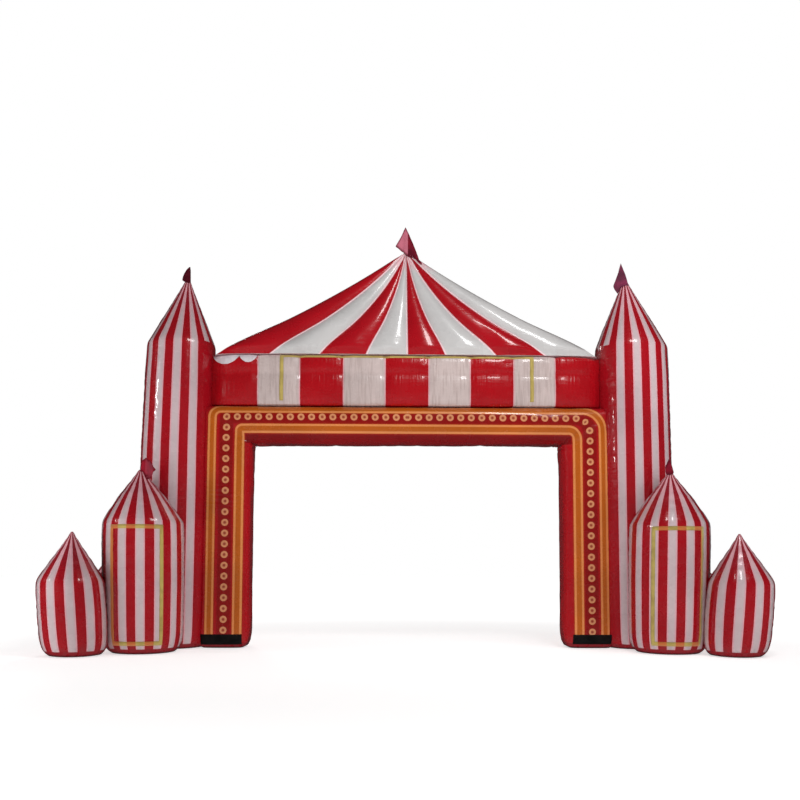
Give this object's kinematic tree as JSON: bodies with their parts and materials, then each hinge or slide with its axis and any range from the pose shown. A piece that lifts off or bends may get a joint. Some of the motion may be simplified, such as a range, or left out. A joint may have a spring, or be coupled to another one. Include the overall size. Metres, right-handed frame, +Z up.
{
  "type": "inflatable arch",
  "caption": "Inflatable circus-tent entrance arch: a walk-through portal between striped round towers with pointed tops, under a panelled band and a gored tent roof with limp flags.",
  "frame": {"origin": "on the ground under the middle of the walkway", "axes": "+Z up, +X along the arch to the viewer's right, the front face looks along -Y"},
  "size_m": [7.963, 2.6012, 5.0903],
  "materials": {
    "portal_vinyl": "glossy coated cloth, red with printed gold lines and lamp rings",
    "striped_vinyl": "glossy coated cloth in red and white panels",
    "trim_vinyl": "white coated cloth",
    "hook_tape": "yellow woven hook tape, sewn on",
    "foot_patch": "black matt coated cloth",
    "flag_cloth": "dark red thin cloth"
  },
  "bodies": {
    "root": {"portal": "portal_vinyl", "band": "striped_vinyl", "roof": "striped_vinyl", "tall_tower_left": "striped_vinyl", "tall_tower_right": "striped_vinyl", "medium_tower_front_left": "striped_vinyl", "medium_tower_front_right": "striped_vinyl", "medium_tower_rear_left": "striped_vinyl", "medium_tower_rear_right": "striped_vinyl", "small_tower_front_left": "striped_vinyl", "small_tower_front_right": "striped_vinyl", "small_tower_rear_left": "striped_vinyl", "small_tower_rear_right": "striped_vinyl", "short_tower_left": "striped_vinyl", "short_tower_right": "striped_vinyl", "scallop_trim": "trim_vinyl", "tape_band": "hook_tape", "tape_tower_left": "hook_tape", "tape_tower_right": "hook_tape", "foot_patch_left": "foot_patch", "foot_patch_right": "foot_patch", "flag_roof": "flag_cloth", "flag_tall_left": "flag_cloth", "flag_tall_right": "flag_cloth", "flag_medium_front_left": "flag_cloth", "flag_medium_front_right": "flag_cloth", "flag_medium_rear_left": "flag_cloth", "flag_medium_rear_right": "flag_cloth"}
  },
  "joints": []
}
